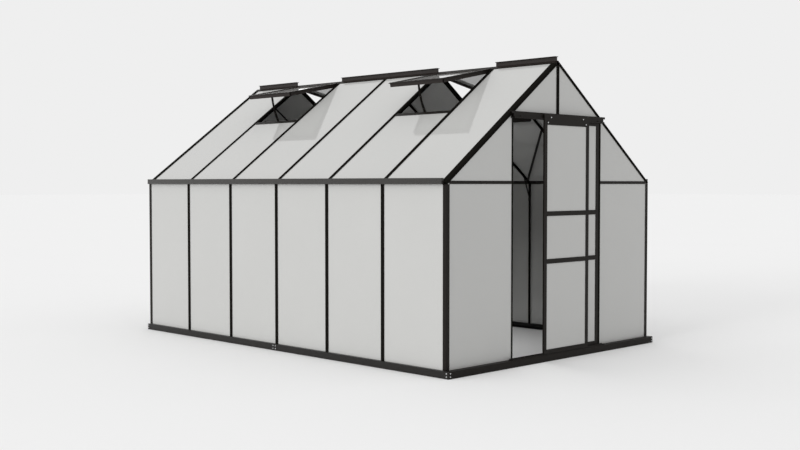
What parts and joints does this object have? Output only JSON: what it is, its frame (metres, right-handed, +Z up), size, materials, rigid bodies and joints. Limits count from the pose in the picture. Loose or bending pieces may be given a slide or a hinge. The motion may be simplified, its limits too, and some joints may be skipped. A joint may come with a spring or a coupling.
{
  "type": "walk-in greenhouse",
  "caption": "Walk-in apex greenhouse with opal twin-wall panels, sliding double doors, hinged roof vents on curved stays, eave gutters and a bolted base frame.",
  "frame": {"origin": "middle of the footprint, on the ground", "axes": "+X across the house to the right of a person facing the doors, +Y along the house from the doors to the back gable, +Z up"},
  "size_m": [2.59, 3.812, 2.336],
  "materials": {
    "frame_coat": "dark bronze powder coat, satin, on aluminium extrusions",
    "base_coat": "dark bronze powder coat, satin, on folded steel",
    "opal_panel": "opal twin-wall polycarbonate, satin, fine upright flutes",
    "zinc_fixing": "bright zinc plated steel fixings",
    "nylon_roller": "natural nylon",
    "rubber_seal": "black glazing rubber"
  },
  "bodies": {
    "house": {"base_bolts": "zinc_fixing", "base_corner_brackets": "zinc_fixing", "base_joint_plates": "zinc_fixing", "base_rail_back": "base_coat", "base_rail_front": "base_coat", "base_rail_left": "base_coat", "base_rail_right": "base_coat", "corner_posts": "frame_coat", "door_header": "frame_coat", "door_jambs": "frame_coat", "door_track": "frame_coat", "eave_gutter_left": "frame_coat", "eave_gutter_right": "frame_coat", "gable_mullions": "frame_coat", "gable_panels_back": "opal_panel", "gable_panels_front": "opal_panel", "gable_rafters_back": "frame_coat", "gable_rafters_front": "frame_coat", "gable_rails": "frame_coat", "glazing_seals": "rubber_seal", "gutter_end_caps": "frame_coat", "knee_braces": "frame_coat", "ridge_beam": "frame_coat", "ridge_crests": "frame_coat", "roof_panels_left": "opal_panel", "roof_panels_right": "opal_panel", "roof_rafters": "frame_coat", "stay_pegs": "zinc_fixing", "threshold_guide": "frame_coat", "track_screws": "zinc_fixing", "track_stops": "frame_coat", "vent_hinge_pins": "zinc_fixing", "vent_sills": "frame_coat", "wall_mullions": "frame_coat", "wall_panels_left": "opal_panel", "wall_panels_right": "opal_panel", "wind_braces": "frame_coat"},
    "front_leaf": {"front_leaf_frame": "frame_coat", "front_leaf_panels": "opal_panel", "front_leaf_bolts": "zinc_fixing"},
    "front_leaf_roller_left": {"front_leaf_roller_left": "nylon_roller"},
    "front_leaf_roller_right": {"front_leaf_roller_right": "nylon_roller"},
    "rear_leaf": {"rear_leaf_frame": "frame_coat", "rear_leaf_panels": "opal_panel", "rear_leaf_bolts": "zinc_fixing"},
    "rear_leaf_roller_left": {"rear_leaf_roller_left": "nylon_roller"},
    "rear_leaf_roller_right": {"rear_leaf_roller_right": "nylon_roller"},
    "vent_left_front": {"vent_left_front_frame": "frame_coat", "vent_left_front_panel": "opal_panel"},
    "vent_left_front_stay": {"vent_left_front_stay": "frame_coat"},
    "vent_left_rear": {"vent_left_rear_frame": "frame_coat", "vent_left_rear_panel": "opal_panel"},
    "vent_left_rear_stay": {"vent_left_rear_stay": "frame_coat"},
    "vent_right_front": {"vent_right_front_frame": "frame_coat", "vent_right_front_panel": "opal_panel"},
    "vent_right_front_stay": {"vent_right_front_stay": "frame_coat"},
    "vent_right_rear": {"vent_right_rear_frame": "frame_coat", "vent_right_rear_panel": "opal_panel"},
    "vent_right_rear_stay": {"vent_right_rear_stay": "frame_coat"}
  },
  "joints": [
    {"name": "front_leaf_slide", "type": "slide", "parent": "house", "child": "front_leaf", "axis": [1, 0, 0], "range_m": [-0.3355, 0.2055]},
    {"name": "rear_leaf_slide", "type": "slide", "parent": "house", "child": "rear_leaf", "axis": [1, 0, 0], "range_m": [-0.471, 0]},
    {"name": "front_leaf_roller_left_spin", "type": "hinge", "parent": "front_leaf", "child": "front_leaf_roller_left", "pos_m": [-0.1395, -1.89475, 1.858], "axis": [0, 1, 0], "continuous": true},
    {"name": "front_leaf_roller_right_spin", "type": "hinge", "parent": "front_leaf", "child": "front_leaf_roller_right", "pos_m": [0.2695, -1.89475, 1.858], "axis": [0, 1, 0], "continuous": true},
    {"name": "rear_leaf_roller_left_spin", "type": "hinge", "parent": "rear_leaf", "child": "rear_leaf_roller_left", "pos_m": [0.031, -1.86875, 1.858], "axis": [0, 1, 0], "continuous": true},
    {"name": "rear_leaf_roller_right_spin", "type": "hinge", "parent": "rear_leaf", "child": "rear_leaf_roller_right", "pos_m": [0.44, -1.86875, 1.858], "axis": [0, 1, 0], "continuous": true},
    {"name": "vent_left_front_hinge", "type": "hinge", "parent": "house", "child": "vent_left_front", "pos_m": [-0.0285, -0.9105, 2.27056], "axis": [0, 1, 0], "range_deg": [-25, 12]},
    {"name": "vent_left_front_stay_pivot", "type": "hinge", "parent": "vent_left_front", "child": "vent_left_front_stay", "pos_m": [-0.56228, -0.9105, 2.15031], "axis": [0, -1, 0], "range_deg": [0, 60]},
    {"name": "vent_left_rear_hinge", "type": "hinge", "parent": "house", "child": "vent_left_rear", "pos_m": [-0.0285, 0.9495, 2.27056], "axis": [0, 1, 0], "range_deg": [-25, 12]},
    {"name": "vent_left_rear_stay_pivot", "type": "hinge", "parent": "vent_left_rear", "child": "vent_left_rear_stay", "pos_m": [-0.56228, 0.9495, 2.15031], "axis": [0, -1, 0], "range_deg": [0, 60]},
    {"name": "vent_right_front_hinge", "type": "hinge", "parent": "house", "child": "vent_right_front", "pos_m": [0.0285, -0.9105, 2.27056], "axis": [0, -1, 0], "range_deg": [-25, 12]},
    {"name": "vent_right_front_stay_pivot", "type": "hinge", "parent": "vent_right_front", "child": "vent_right_front_stay", "pos_m": [0.56228, -0.9105, 2.15031], "axis": [0, 1, 0], "range_deg": [0, 60]},
    {"name": "vent_right_rear_hinge", "type": "hinge", "parent": "house", "child": "vent_right_rear", "pos_m": [0.0285, 0.9495, 2.27056], "axis": [0, -1, 0], "range_deg": [-25, 12]},
    {"name": "vent_right_rear_stay_pivot", "type": "hinge", "parent": "vent_right_rear", "child": "vent_right_rear_stay", "pos_m": [0.56228, 0.9495, 2.15031], "axis": [0, 1, 0], "range_deg": [0, 60]}
  ],
  "couplings": [
    {"joint": "front_leaf_roller_left_spin", "follows": "front_leaf_slide", "rad_per_m": 138.89},
    {"joint": "front_leaf_roller_right_spin", "follows": "front_leaf_slide", "rad_per_m": 138.89},
    {"joint": "rear_leaf_roller_left_spin", "follows": "rear_leaf_slide", "rad_per_m": 138.89},
    {"joint": "rear_leaf_roller_right_spin", "follows": "rear_leaf_slide", "rad_per_m": 138.89}
  ]
}
